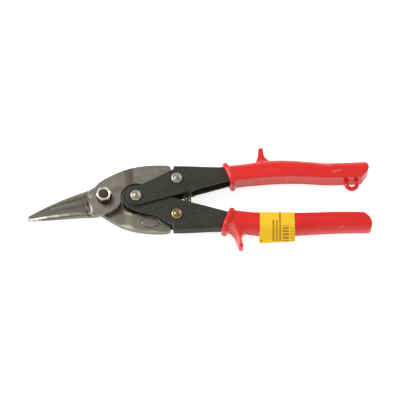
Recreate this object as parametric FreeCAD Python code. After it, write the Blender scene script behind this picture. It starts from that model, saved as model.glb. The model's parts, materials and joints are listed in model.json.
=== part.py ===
import FreeCAD, Part
import math
import os
from FreeCAD import Vector

# Compound-leverage aviation snips, 250 mm long, drawn closed. Millimetres.
#
# The two blades slide on each other in the plane Z = 0 and turn on the blade bolt at X = Y = 0.
# +X runs from that bolt to the grips, +Y to the upper handle and +Z to the nut. The blade that
# lies above the plane has its tail in the upper handle, and the other one is its mate below.
# Each piece of the lower side is drawn as its twin of the upper side and then turned half round
# about X. At the end the whole model is moved so that its origin is the middle of its underside.

# ---- sheet, blades and running gaps
SHEET = 1.8              # handle sheet steel
BLADE = 4.35             # forged blade at its boss
SHEAR_GAP = 0.05         # shear face to the plane Z = 0
BLADE_GAP = 0.2          # blade to handle wall
SLIDE_GAP = 0.1          # sliding wall, head or washer to its neighbour
PIN_FIT = 0.05           # radial clearance of every rivet and bolt
LOOSE_FIT = 0.35         # radial clearance of the tail hole that closes the linkage

# ---- linkage centres
HANDLE_X = 23.0          # handle rivet
TAIL_X = 52.5            # both tail rivets
TAIL_Y = 14.0

# ---- blades
BOSS_R = 12.7            # round boss about the blade bolt
NOTCH_GAP = 1.0          # notch to the big ear that turns in it
TAIL_OUT = 7.2           # from the tail rivet out to the tail's back
HEEL_DROP = 7.7          # from the tail rivet in to the spring seat
TAIL_END = 12.3          # from the tail rivet back to the tail's end
EDGE_LAND = 0.5          # thickness of the cutting edge
JAW_OVERLAP = 1.2        # how far the lower blade's edge passes the upper blade's

# ---- handles
SMALL_EAR_R = 7.2
BIG_EAR_R = 10.0
HANDLE_FRONT = 50.0      # where the folded back begins
INNER_SLOPE = 0.295      # rise of the wall's inner edge
BEND_R = 2.8             # outside radius of the fold
CHANNEL_END = 182.0
BAR_FRONT = 90.6         # where the handle's straight inner edge ends, inside the collar
BAR_END = 204.0          # drawing end of the handle's lines, past both grips

# ---- grips
VINYL = 1.5              # wall of the grip over the channel
SLEEVE_FIT = 0.05        # grip to channel
GRIP_BACK_R = 5.0
GRIP_EDGE_R = 1.2
GRIP_END_R = 2.4         # corners of the end, seen from above
UPPER_COLLAR_X = 90.6
LOWER_COLLAR_X = 89.6
COLLAR_THICK = 2.2
COLLAR_HEIGHT = 18.6
COLLAR_LEAN = 21.0       # degrees
COLLAR_PROUD = 2.0       # beyond the grip's faces
COLLAR_MID = 18.45       # middle of its height
COLLAR_CORNER_R = 5.0
COLLAR_LIP_R = 0.8
SPUR_THICK = 9.0
UPPER_SPUR_TIP = 40.0
LOWER_SPUR_TIP = 39.6
SPUR_TIP_WIDTH = 2.6
SPUR_TIP_R = 1.0
SPUR_WAIST_RISE = 0.6    # the hollow flanks: their middle above half height
SPUR_WAIST_IN = 1.1      # and in from the straight line
UPPER_SPUR_X = 114.6
UPPER_SPUR_LEAN = -1.0   # how far the tip leans back towards the grip's end
LOWER_SPUR_X = 96.2
LOWER_SPUR_LEAN = 2.3
UPPER_GRIP_END = 192.0
LOWER_GRIP_END = 192.8
EYE_X = 179.8
EYE_Y = 11.4
EYE_R = 4.8
EYE_HOLE_R = 2.2
EYE_THICK = 3.0

# ---- fasteners
BOLT_R = 3.2
BOLT_END = 0.35          # bolt end above the nut
BOLT_HEAD_HIGH = 3.6
BOLT_HEAD_FLATS = 11.0
NUT_FLATS = 10.0
NUT_HIGH = 4.7
NUT_CHAMFER = 0.2        # narrows the nut's top circle inside its flats
NUT_TURN = 11.5          # degrees
LOCK_WASHER_R = 5.6
LOCK_WASHER_HIGH = 0.9
RIVET_R = 2.6
RIVET_HEAD_R = 4.2
RIVET_HEAD_HIGH = 2.1
SPACER_R = 5.0
TAIL_WASHER_R = 6.0

# ---- spring
SPRING_X = 60.2
SPRING_R = 2.9
SPRING_WIRE = 1.0
SPRING_SHIFT = 1.45      # its ends sit this far above and below Z = 0
SPRING_GAP = 0.05
NUB_R = 1.2
NUB_HIGH = 1.6

# ---- latch on the underside
LATCH_X = 64.0
LATCH_Y = -11.0
LATCH_REACH = 20.0       # pivot to stud
LATCH_THICK = 1.5
LATCH_GAP = 0.25         # latch to handle wall
LATCH_BOSS_R = 4.8
LATCH_ARM = 6.0
LATCH_HOOK_R = 5.2
LATCH_LIP = 1.2
LATCH_RIVET_R = 2.0
LATCH_RIVET_HEAD_R = 3.6
LATCH_WASHER_HIGH = 0.4
LATCH_HEAD_HIGH = 0.8
STUD_R = 1.6
STUD_HEAD_R = 2.6
STUD_HEAD_HIGH = 0.8
HOOK_FIT = 0.3           # hook to stud

# ---- paper label on the lower grip
LABEL_START = 112.2
LABEL_LONG = 25.0
LABEL_DROP = 5.8         # how far it hangs past the grip's back
LABEL_FLAP = 4.1         # of which glued flat
LABEL_BEND = 0.7         # corner cut where it bends round the grip's inner side
LABEL_LOOSE = 0.8        # how far it stands off the grip's rounded back
LABEL_SIDE_END = 3.2     # its sides leave the grip's faces this far short of the back
PAPER = 0.25
PAPER_GAP = 0.1

# ---- levels that follow from the sizes above
BLADE_TOP = SHEAR_GAP + BLADE
SMALL_IN = BLADE_TOP + BLADE_GAP
SMALL_OUT = SMALL_IN + SHEET
BIG_OUT = SMALL_IN - SLIDE_GAP
BIG_IN = BIG_OUT - SHEET
CHANNEL_MID = (SMALL_OUT - BIG_OUT) / 2
HALF_CHANNEL = (SMALL_OUT + BIG_OUT) / 2
HALF_GRIP = HALF_CHANNEL + VINYL
HEEL_Y = TAIL_Y - HEEL_DROP
NOTCH_R = BIG_EAR_R + NOTCH_GAP


# ---------------------------------------------------------------- drawing helpers
def at(x, y, z=0.0):
    return Vector(x, y, z)


def line(start, end):
    return Part.makeLine(at(*start), at(*end))


def lines(points):
    return [line(a, b) for a, b in zip(points, points[1:])]


def spline(points):
    curve = Part.BSplineCurve()
    curve.interpolate([at(*p) for p in points])
    return curve.toShape()


def on_circle(centre, radius, degrees):
    turn = math.radians(degrees)
    return (centre[0] + radius * math.cos(turn), centre[1] + radius * math.sin(turn))


def arc(centre, radius, start, end):
    """An arc from start to end degrees, either way round."""
    stops = [on_circle(centre, radius, start + (end - start) * k / 2) for k in range(3)]
    return Part.Arc(*[at(*p) for p in stops]).toShape()


def slab(edges, low, high):
    """The solid between two levels inside a closed outline."""
    face = Part.Face(Part.Wire(edges))
    solid = face.extrude(at(0, 0, high - low))
    solid.translate(at(0, 0, low))
    return solid


def disc(centre, radius, low, high):
    return Part.makeCylinder(radius, high - low, at(centre[0], centre[1], low))


def ring(centre, radius, hole, low, high):
    return disc(centre, radius, low, high).cut(disc(centre, hole, low, high))


def hexagon(across_flats, degrees, low, high):
    radius = across_flats / math.sqrt(3)
    corners = [on_circle((0, 0), radius, degrees + 60 * k) for k in range(7)]
    return slab(lines(corners), low, high)


def turned(shape):
    """The same piece on the lower side: half a turn about X."""
    return shape.rotated(at(0, 0), at(1, 0), 180)


def rounded(shape, radius, wanted):
    """Fillets the edges that wanted(edge) picks."""
    return shape.makeFillet(radius, [e for e in shape.Edges if wanted(e)])


def is_level(edge, level):
    box = edge.BoundBox
    return abs(box.ZMin - level) < 1e-4 and abs(box.ZMax - level) < 1e-4


def is_upright(edge):
    box = edge.BoundBox
    return box.ZLength > 1e-3 and box.XLength < 1e-4 and box.YLength < 1e-4


# ---------------------------------------------------------------- blades
def blade_plan(back, boss_low):
    """Boss and tail seen from above: back edge, shoulder, tail, notch, round boss, jaw root.

    The notch and the boss meet where their circles cross, or else in a line between them.
    """
    pivot = (HANDLE_X, 0)
    shoulder = [(HANDLE_FRONT - 3.6, TAIL_Y + 11.9), (HANDLE_FRONT - 2.0, TAIL_Y + 10.5),
                (HANDLE_FRONT - 1.7, TAIL_Y + 8.6), (HANDLE_FRONT - 0.8, TAIL_Y + TAIL_OUT)]
    end = TAIL_X + TAIL_END
    tail = [shoulder[-1], (TAIL_X + 4.0, TAIL_Y + TAIL_OUT), (end - 1.5, TAIL_Y + 4.0),
            (end, TAIL_Y - 1.0), (end, HEEL_Y), (TAIL_X + 3.5, HEEL_Y)]
    across = (BOSS_R ** 2 - NOTCH_R ** 2 + HANDLE_X ** 2) / (2 * HANDLE_X)
    half_chord = math.sqrt(max(0.0, BOSS_R ** 2 - across ** 2))
    boss_start = -math.degrees(math.atan2(half_chord, across))
    notch_end = 180 + math.degrees(math.atan2(half_chord, HANDLE_X - across))
    notch_start = 70
    boss_end = -86
    neck = [tail[-1], (HANDLE_X + 15.0, HEEL_Y + 1.4), on_circle(pivot, NOTCH_R, notch_start)]
    web = [on_circle(pivot, NOTCH_R, notch_end), on_circle((0, 0), BOSS_R, boss_start)]
    root = [on_circle((0, 0), BOSS_R, boss_end)] + boss_low
    return ([spline(back + [shoulder[0]])] + lines(shoulder) + lines(tail) + lines(neck)
            + [arc(pivot, NOTCH_R, notch_start, notch_end)]
            + ([] if half_chord else lines(web))
            + [arc((0, 0), BOSS_R, boss_start, boss_end)] + lines(root + [back[0]]))


def jaw(sections):
    """A loft through (x, edge, back, ridge height, bevel) sections at even steps of x.

    Each section runs from the cutting edge over the hollow outer face to the ridge and down the
    back. The bevel breaks the corner between the back and the shear face.
    """
    wires = []
    for x, edge, back, ridge, bevel in sections:
        width = edge - back
        top = SHEAR_GAP + ridge
        hollow = SHEAR_GAP + EDGE_LAND + 0.22 * (ridge - EDGE_LAND)
        outline = [(edge, SHEAR_GAP), (edge, SHEAR_GAP + EDGE_LAND), (edge - 0.5 * width, hollow),
                   (back + 0.24 * width, top - 0.08 * ridge), (back + 0.1 * width, top),
                   (back, top - 0.2 * ridge), (back, SHEAR_GAP + 0.6 * bevel), (back + bevel, SHEAR_GAP)]
        corners = [at(x, y, z) for y, z in outline]
        wires.append(Part.makePolygon(corners + corners[:1]))
    return Part.makeLoft(wires, True)


def blade(back, boss_low, sections):
    """One forged blade as it lies above the plane, with its bores still to be cut."""
    plate = slab(blade_plan(back, boss_low), SHEAR_GAP, BLADE_TOP)
    nub = Part.makeCylinder(NUB_R, NUB_HIGH + 1.0, at(SPRING_X, HEEL_Y + 1.0, SPRING_SHIFT), at(0, -1))
    return plate.fuse([jaw(sections), nub]).removeSplitter()


def front_blade():
    """The blade above the plane: tail in the upper handle, jaw on the lower side."""
    back = [(-11.6, 4.2), (-8.5, 6.6), (-5.0, 10.9), (3.1, 16.8), (16.2, 22.9), (29.2, 25.6), (40.0, 26.1)]
    boss_low = [(-4.6, -14.4), (-7.5, -14.7), (-9.3, -7.7), (-10.9, -3.8), (-12.6, 0.2)]
    sections = [(-55.0, -15.2, -17.7, 2.1, 0.1), (-45.4, -12.0, -17.1, 2.9, 0.1),
                (-35.8, -9.0, -16.4, 3.5, 0.1), (-26.2, -6.4, -15.6, 3.7, 0.1),
                (-16.6, -4.2, -14.9, 3.8, 0.1), (-7.0, -2.2, -14.7, 3.9, 0.1)]
    solid = blade(back, boss_low, sections)
    solid = solid.cut(disc((0, 0), BOLT_R + PIN_FIT, 0, BLADE_TOP))
    return solid.cut(disc((TAIL_X, TAIL_Y), RIVET_R + LOOSE_FIT, 0, BLADE_TOP))


def rear_blade():
    """The mate below the plane, drawn above it and turned: its face shows past the front jaw."""
    back = [(-11.6, 4.2), (-8.5, 6.6), (-5.6, 9.2), (-1.2, 12.3), (7.5, 18.2), (16.2, 22.6),
            (29.2, 25.6), (40.0, 26.3)]
    boss_low = [(-4.0, -12.2), (-8.0, -10.3), (-11.4, -8.0), (-12.8, -3.0), (-12.6, 0.2)]
    over = JAW_OVERLAP
    sections = [(-54.6, 15.2 + over, 12.9, 2.1, 0.4), (-45.08, 12.0 + over, 7.1, 2.9, 0.8),
                (-35.56, 9.0 + over, 1.8, 3.5, 1.3), (-26.04, 6.4 + over, -2.8, 3.7, 1.9),
                (-16.52, 4.2 + over, -6.9, 3.8, 2.5), (-7.0, 2.2 + over, -10.5, 3.9, 3.2)]
    solid = blade(back, boss_low, sections)
    solid = solid.cut(disc((0, 0), BOLT_R + PIN_FIT, 0, BLADE_TOP))
    solid = solid.cut(disc((TAIL_X, TAIL_Y), RIVET_R + PIN_FIT, 0, BLADE_TOP))
    return turned(solid.cut(oval_groove()))


def oval_groove():
    """A bare oval, framed by a shallow groove in the lower blade's open face."""
    long, short, width, deep = 7.0, 4.4, 0.6, 0.3
    centre = at(HANDLE_X + 10.5, TAIL_Y + 4.3, SHEAR_GAP)
    outer = Part.Face(Part.Wire(Part.Ellipse(centre, long, short).toShape()))
    inner = Part.Face(Part.Wire(Part.Ellipse(centre, long - width, short - width).toShape()))
    return outer.cut(inner).extrude(at(0, 0, deep))


# ---------------------------------------------------------------- handles
def inner_edge(x):
    """Height of the wall's inner edge at x, a straight line tangent to the small ear."""
    lean = math.atan(INNER_SLOPE)
    touch = on_circle((HANDLE_X, 0), SMALL_EAR_R, math.degrees(lean) - 90)
    return touch[1] + INNER_SLOPE * (x - touch[0])


def back_line():
    """The handle's folded back at the sheet's outside, drawn on to past the end of both grips."""
    return [(HANDLE_FRONT, 25.3), (64.0, 25.1), (80.0, 24.4), (BAR_FRONT, 24.6), (103.0, 25.9),
            (120.0, 27.7), (142.0, 27.4), (162.0, 26.3), (182.0, 25.8), (BAR_END, 25.6)]


def belly_line():
    """The handle's inner edge inside the grip. Ahead of the collar it is straight."""
    return [(BAR_FRONT, inner_edge(BAR_FRONT)), (103.0, 14.2), (LABEL_START, 14.95), (142.0, 15.6),
            (162.0, 15.2), (182.0, 15.4), (BAR_END, 15.6)]


def shifted(points, rise):
    return [(x, y + rise) for x, y in points]


def bar(grow, back_radius, start, end):
    """The handle's outside between two places along X, grown all round, its back rounded."""
    back = shifted(back_line(), grow)
    belly = shifted(belly_line(), -grow)
    front = (HANDLE_FRONT, inner_edge(HANDLE_FRONT) - grow)
    edges = [spline(back), line(back[-1], belly[-1]), spline(belly[::-1]), line(belly[0], front),
             line(front, back[0])]
    low, high = CHANNEL_MID - HALF_CHANNEL - grow, CHANNEL_MID + HALF_CHANNEL + grow
    solid = rounded(slab(edges, low, high), back_radius, lambda e: is_back(e, low) or is_back(e, high))
    return solid.common(Part.makeBox(end - start, 60, 60, at(start, 0, -30)))


def is_back(edge, level):
    """The long outside edge of a handle or grip at one level."""
    return is_level(edge, level) and edge.BoundBox.YMin > TAIL_Y + 6 and edge.BoundBox.XLength > 30


def channel_hollow():
    """What the fold encloses: the space inside the sheet, open at its inner side and both ends."""
    back = shifted(back_line(), -SHEET)
    under = -30.0
    edges = [spline(back)] + lines([back[-1], (BAR_END, under), (HANDLE_FRONT, under), back[0]])
    low, high = -BIG_IN, SMALL_IN
    solid = slab(edges, low, high)
    return rounded(solid, BEND_R - SHEET, lambda e: is_back(e, low) or is_back(e, high))


def small_ear_wall():
    """The wall with the small ear and the straight front edge, above the plane."""
    pivot = (HANDLE_X, 0)
    lap = HANDLE_FRONT + 6
    top = TAIL_Y + 8.3
    lean = math.degrees(math.atan(INNER_SLOPE))
    start = 113
    front = [on_circle(pivot, SMALL_EAR_R, start), (HANDLE_X + 11.4, 13.2), (HANDLE_FRONT - 9.1, 16.7),
             (HANDLE_FRONT - 3.9, 19.8), (HANDLE_FRONT + 0.6, top)]
    edges = [spline(front[::-1]), arc(pivot, SMALL_EAR_R, start, 270 + lean),
             line(on_circle(pivot, SMALL_EAR_R, lean - 90), (lap, inner_edge(lap)))]
    edges += lines([(lap, inner_edge(lap)), (lap, top), front[-1]])
    return slab(edges, SMALL_IN, SMALL_OUT)


def big_ear_wall():
    """The wall with the big ear and the bowed front edge, below the plane."""
    pivot = (HANDLE_X, 0)
    lap = HANDLE_FRONT + 6
    top = TAIL_Y + 8.3
    start = 105
    low = -66
    front = [on_circle(pivot, BIG_EAR_R, start), (HANDLE_X + 8.0, 13.5), (HANDLE_FRONT - 10.0, 16.6),
             (HANDLE_FRONT - 5.6, 20.0), (HANDLE_FRONT - 2.0, top - 0.4), (HANDLE_FRONT + 0.6, top)]
    edges = [spline(front[::-1]), arc(pivot, BIG_EAR_R, start, 360 + low)]
    edges += lines([on_circle(pivot, BIG_EAR_R, low), (HANDLE_FRONT, inner_edge(HANDLE_FRONT)),
                    (lap, inner_edge(lap)), (lap, top), front[-1]])
    return slab(edges, -BIG_OUT, -BIG_IN)


def handle_stamping():
    """One handle: both ear walls on a folded channel that runs on inside the grip."""
    channel = bar(0, BEND_R, HANDLE_FRONT, CHANNEL_END).cut(channel_hollow())
    solid = channel.fuse([small_ear_wall(), big_ear_wall()]).removeSplitter()
    for x, y in ((HANDLE_X, 0), (TAIL_X, TAIL_Y)):
        solid = solid.cut(disc((x, y), RIVET_R + PIN_FIT, -SMALL_OUT, SMALL_OUT))
    return solid


def upper_handle():
    return handle_stamping().cut(disc(stud_place(), STUD_R + PIN_FIT, -BIG_OUT, -BIG_IN))


def lower_handle():
    return turned(handle_stamping()).cut(disc((LATCH_X, LATCH_Y), LATCH_RIVET_R + PIN_FIT,
                                              -SMALL_OUT, -SMALL_IN))


# ---------------------------------------------------------------- grips
def grip_body(front, end_points):
    """The sleeve's outside: the handle's shape grown by the vinyl, trimmed to the end's outline."""
    low, high = CHANNEL_MID - HALF_GRIP, CHANNEL_MID + HALF_GRIP
    solid = bar(VINYL, GRIP_BACK_R, front, BAR_END)
    solid = rounded(solid, GRIP_EDGE_R, lambda e: e.BoundBox.XLength > 60 and e.BoundBox.YMax < TAIL_Y + 6
                    and (is_level(e, low) or is_level(e, high)))
    first, last = end_points[0], end_points[-1]
    outline = [(front, last[1])] + end_points[::-1] + [(front, first[1]), (front, last[1])]
    trim = slab(lines(outline), low, high)
    trim = rounded(trim, GRIP_END_R, lambda e: is_upright(e) and e.BoundBox.XMin > CHANNEL_END
                   and first[1] > e.BoundBox.YMin > last[1])
    return solid.common(trim)


def collar(x):
    """A leaning flange in front of the grip, proud of it all round."""
    wide = 2 * (HALF_GRIP + COLLAR_PROUD)
    plate = Part.makeBox(COLLAR_THICK, COLLAR_HEIGHT, wide,
                         at(-COLLAR_THICK / 2, -COLLAR_HEIGHT / 2, CHANNEL_MID - wide / 2))
    plate = rounded(plate, COLLAR_CORNER_R, lambda e: e.BoundBox.XLength > COLLAR_THICK / 2)
    plate = rounded(plate, COLLAR_LIP_R, lambda e: e.BoundBox.XLength < COLLAR_THICK / 2)
    plate.rotate(at(0, 0), at(0, 0, 1), COLLAR_LEAN)
    plate.translate(at(x, COLLAR_MID))
    return plate


def spur(x, lean, foot, tip_height):
    """A finger guard: a fin with hollow front and rear that rises from the grip's back."""
    half = SPUR_TIP_WIDTH / 2
    tip = x + lean
    root = 24.0
    waist = (tip_height + root) / 2 + SPUR_WAIST_RISE
    front = [(x - foot, root + 3.4), ((x - foot + tip - half) / 2 + SPUR_WAIST_IN, waist), (tip - half, tip_height)]
    rear = [(tip + half, tip_height), ((x + foot + tip + half) / 2 - SPUR_WAIST_IN, waist), (x + foot, root + 4.4)]
    edges = [spline(front), line(front[-1], rear[0]), spline(rear)]
    edges += lines([rear[-1], (x + foot, root - 3), (x - foot, root - 3), front[0]])
    low, high = CHANNEL_MID - SPUR_THICK / 2, CHANNEL_MID + SPUR_THICK / 2
    solid = slab(edges, low, high)
    return rounded(solid, SPUR_TIP_R, lambda e: is_upright(e) and e.BoundBox.YMin > tip_height - 1)


def eye_plate():
    """The hanging eye's lug under the upper grip's end."""
    low, high = CHANNEL_MID - EYE_THICK / 2, CHANNEL_MID + EYE_THICK / 2
    neck = Part.makeBox(2 * EYE_R, 5.0, EYE_THICK, at(EYE_X - EYE_R, EYE_Y, low))
    return disc((EYE_X, EYE_Y), EYE_R, low, high).fuse(neck)


def sleeve(collar_x, end_points, additions):
    """A whole grip: its outside joined and hollowed for the channel."""
    body = grip_body(collar_x, end_points).fuse([collar(collar_x)] + additions)
    cavity = bar(SLEEVE_FIT, BEND_R + SLEEVE_FIT, HANDLE_FRONT, CHANNEL_END + SLEEVE_FIT)
    return body.cut(cavity).removeSplitter()


def upper_grip():
    """Its end slants back to the hanging eye."""
    end = UPPER_GRIP_END
    tip = [(end - 6.0, 30.0), (end, 24.5), (end - 0.2, 21.5), (end - 10.0, 8.0)]
    fin = spur(UPPER_SPUR_X, UPPER_SPUR_LEAN, 7.4, UPPER_SPUR_TIP)
    solid = sleeve(UPPER_COLLAR_X, tip, [fin, eye_plate()])
    return solid.cut(disc((EYE_X, EYE_Y), EYE_HOLE_R, -SMALL_OUT, SMALL_OUT))


def lower_grip():
    """Its end is round on the inner side and blunter at the back."""
    end = LOWER_GRIP_END
    tip = [(end - 5.0, 30.0), (end - 1.2, 26.6), (end, 24.0), (end, 20.0), (end - 1.8, 16.2),
           (end - 7.5, 12.0)]
    fin = spur(LOWER_SPUR_X, LOWER_SPUR_LEAN, 6.4, LOWER_SPUR_TIP)
    return turned(sleeve(LOWER_COLLAR_X, tip, [fin]))


# ---------------------------------------------------------------- fasteners
def rivet_head(centre, face, way):
    """A set head: a rounded rim, a ring groove and a raised button with a flat middle."""
    high = RIVET_HEAD_HIGH
    r = RIVET_HEAD_R

    def spot(out, up):
        return at(out * r, 0, up * high)

    rim = Part.Arc(spot(1, 0.2), spot(0.88, 0.66), spot(0.62, 0.84)).toShape()
    button = Part.Arc(spot(0.47, 0.78), spot(0.32, 0.95), spot(0.12, 1)).toShape()
    edges = [Part.makeLine(spot(0, 0), spot(1, 0)), Part.makeLine(spot(1, 0), spot(1, 0.2)), rim,
             Part.makeLine(spot(0.62, 0.84), spot(0.545, 0.6)),
             Part.makeLine(spot(0.545, 0.6), spot(0.47, 0.78)), button,
             Part.makeLine(spot(0.12, 1), spot(0, 1)), Part.makeLine(spot(0, 1), spot(0, 0))]
    solid = Part.makeSolid(Part.makeShell(Part.Face(Part.Wire(edges)).revolve(at(0, 0), at(0, 0, 1), 360).Faces))
    if way < 0:
        solid = turned(solid)
    solid.translate(at(centre[0], centre[1], face))
    return solid


def rivet(centre, low, high):
    """A rivet whose heads stand a sliding gap off the two outside faces."""
    low -= SLIDE_GAP
    high += SLIDE_GAP
    shank = disc(centre, RIVET_R, low, high)
    return shank.fuse([rivet_head(centre, high, 1), rivet_head(centre, low, -1)]).removeSplitter()


def bolt_levels():
    """Levels of the bolt head's face, washer, nut and nut top."""
    washer = BLADE_TOP + SLIDE_GAP
    nut = washer + LOCK_WASHER_HIGH
    return -BLADE_TOP - SLIDE_GAP, washer, nut, nut + NUT_HIGH


def pivot_bolt():
    face, _, _, nut_top = bolt_levels()
    head = hexagon(BOLT_HEAD_FLATS, 0, face - BOLT_HEAD_HIGH, face)
    crown = Part.makeSphere(14.0, at(0, 0, face - BOLT_HEAD_HIGH + 13.4))
    shank = disc((0, 0), BOLT_R, face, nut_top + BOLT_END)
    shank = rounded(shank, 0.3, lambda e: is_level(e, nut_top + BOLT_END))
    return head.common(crown).fuse(shank).removeSplitter()


def pivot_washer():
    _, low, high, _ = bolt_levels()
    return ring((0, 0), LOCK_WASHER_R, BOLT_R + PIN_FIT, low, high)


def pivot_nut():
    """A hex nut with a 30 degree chamfer on its top corners."""
    _, _, low, high = bolt_levels()
    top = NUT_FLATS / 2 - NUT_CHAMFER
    chamfer = Part.makeCone(top + NUT_HIGH * math.sqrt(3), top, NUT_HIGH, at(0, 0, low))
    body = hexagon(NUT_FLATS, NUT_TURN, low, high).common(chamfer)
    return body.cut(disc((0, 0), BOLT_R + PIN_FIT, low, high))


def handle_rivet():
    return rivet((HANDLE_X, 0), -SMALL_OUT, SMALL_OUT)


def handle_spacer():
    half = BIG_IN - SLIDE_GAP / 2
    return ring((HANDLE_X, 0), SPACER_R, RIVET_R + PIN_FIT, -half, half)


def link_rivet():
    return rivet((TAIL_X, TAIL_Y), -BIG_OUT, SMALL_OUT)


def tail_washer():
    return ring((TAIL_X, TAIL_Y), TAIL_WASHER_R, RIVET_R + PIN_FIT, -BIG_IN + SLIDE_GAP / 2, 0)


# ---------------------------------------------------------------- spring, latch, label
def spring():
    """The coil spring's outer and inner shape, between the two heels, its ends ground flat."""
    half = HEEL_Y - SPRING_GAP
    top, bottom = at(SPRING_X, HEEL_Y, SPRING_SHIFT), at(SPRING_X, -HEEL_Y, -SPRING_SHIFT)
    way = bottom.sub(top).normalize()
    start = top.sub(way * 4)
    long = 2 * HEEL_Y + 12
    tube = Part.makeCylinder(SPRING_R, long, start, way)
    tube = tube.cut(Part.makeCylinder(SPRING_R - SPRING_WIRE, long, start, way))
    return tube.common(Part.makeBox(40, 2 * half, 40, at(SPRING_X - 20, -half, -20)))


def stud_place():
    return (LATCH_X, LATCH_Y + LATCH_REACH)


def latch_levels():
    top = -SMALL_OUT - LATCH_GAP
    return top - LATCH_THICK, top


def latch():
    """A hooked lever, drawn engaged along +Y from its pivot and then turned back to its rest."""
    low, high = latch_levels()
    slot = STUD_R + HOOK_FIT
    reach = LATCH_REACH
    arm = Part.makeBox(LATCH_ARM, reach, LATCH_THICK, at(-LATCH_ARM / 2, 0, low))
    solid = disc((0, 0), LATCH_BOSS_R, low, high).fuse([arm, disc((0, reach), LATCH_HOOK_R, low, high)])
    lip = Part.makeBox(1.6, 6.0, LATCH_LIP, at(LATCH_HOOK_R - 2.4, reach - 3.0, low - LATCH_LIP))
    mouth = ring((0, 0), reach + slot, reach - slot, low, high)
    mouth = mouth.common(Part.makeBox(20, 2 * reach, 40, at(-20, 0, -30)))
    solid = solid.cut(mouth.fuse(disc((0, reach), slot, low, high))).removeSplitter()
    solid = solid.fuse(lip).removeSplitter().cut(disc((0, 0), LATCH_RIVET_R + PIN_FIT, low, high))
    solid.rotate(at(0, 0), at(0, 0, 1), -90)
    solid.translate(at(LATCH_X, LATCH_Y))
    return solid


def latch_rivet():
    low, _ = latch_levels()
    face = low - LATCH_WASHER_HIGH - SLIDE_GAP
    place = (LATCH_X, LATCH_Y)
    inside = -SMALL_IN + 0.1
    shank = disc(place, LATCH_RIVET_R, face, inside)
    head = disc(place, LATCH_RIVET_HEAD_R, face - LATCH_HEAD_HIGH, face)
    return shank.fuse(rounded(head, 0.4, lambda e: is_level(e, face - LATCH_HEAD_HIGH))).removeSplitter()


def latch_washer():
    low, _ = latch_levels()
    top = low - SLIDE_GAP / 2
    return ring((LATCH_X, LATCH_Y), LATCH_RIVET_HEAD_R, LATCH_RIVET_R + PIN_FIT, top - LATCH_WASHER_HIGH, top)


def latch_stud():
    """The stud on the upper handle that the hook takes, with a head that keeps the hook on."""
    low, _ = latch_levels()
    face = low - SLIDE_GAP
    shank = disc(stud_place(), STUD_R, face, -BIG_IN)
    head = disc(stud_place(), STUD_HEAD_R, face - STUD_HEAD_HIGH, face)
    shoulder = ring(stud_place(), STUD_HEAD_R, STUD_R, -BIG_OUT - 1.0, -BIG_OUT - SLIDE_GAP / 2)
    return shank.fuse([head, shoulder]).removeSplitter()


def paper_label():
    """A folded paper sleeve round the lower grip, glued to itself past the grip's back."""
    belly = min(y for x, y in belly_line() if x >= LABEL_START) - VINYL - PAPER_GAP
    back = max(y for x, y in back_line()) + VINYL
    half = HALF_GRIP + PAPER_GAP
    fold = back + LABEL_DROP - LABEL_FLAP
    turn = back - LABEL_SIDE_END
    corner = on_circle((back - GRIP_BACK_R, HALF_GRIP - GRIP_BACK_R), GRIP_BACK_R + LABEL_LOOSE, 34)

    def tube(grow, start, long):
        wall = [(belly - grow, half - LABEL_BEND), (belly + LABEL_BEND, half + grow),
                (turn, half + grow), (corner[0] + grow, corner[1] + grow), (fold + grow, 0)]
        wall += [(y, -z) for y, z in wall[-2::-1]]
        points = [at(start, y, CHANNEL_MID + z) for y, z in wall + wall[:1]]
        return Part.Face(Part.makePolygon(points)).extrude(at(long, 0, 0))

    flap = Part.makeBox(LABEL_LONG, LABEL_FLAP, 2 * PAPER, at(LABEL_START, fold, CHANNEL_MID - PAPER))
    sheet = tube(PAPER, LABEL_START, LABEL_LONG).fuse(flap)
    return turned(sheet.cut(tube(0, LABEL_START, LABEL_LONG)).removeSplitter())


# ---------------------------------------------------------------- the whole tool
PIECES = {
    "front_blade": front_blade, "rear_blade": rear_blade,
    "upper_handle": upper_handle, "lower_handle": lower_handle,
    "upper_grip": upper_grip, "lower_grip": lower_grip,
    "pivot_bolt": pivot_bolt, "pivot_washer": pivot_washer, "pivot_nut": pivot_nut,
    "handle_rivet": handle_rivet, "handle_spacer": handle_spacer,
    "upper_link_rivet": link_rivet, "lower_link_rivet": lambda: turned(link_rivet()),
    "upper_tail_washer": tail_washer, "lower_tail_washer": lambda: turned(tail_washer()),
    "spring": spring, "latch": latch, "latch_rivet": latch_rivet, "latch_washer": latch_washer,
    "latch_stud": latch_stud, "paper_label": paper_label,
}

solids = {name: make() for name, make in PIECES.items()}
bounds = Part.makeCompound(list(solids.values())).optimalBoundingBox(False, False)
origin = at((bounds.XMin + bounds.XMax) / 2, (bounds.YMin + bounds.YMax) / 2, bounds.ZMin)
os.makedirs("parts", exist_ok=True)
for name, solid in solids.items():
    solid.translate(origin.negative())
    solid.exportStep("parts/" + name + ".step")
    print(f"{name:18s} solids {len(solid.Solids)} valid {solid.isValid()} volume {solid.Volume:9.1f}")
print("blade bolt at", [round(-v, 4) for v in origin])
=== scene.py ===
import json
import math

import bmesh
import bpy
import numpy as np
from mathutils import Matrix, Vector

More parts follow.
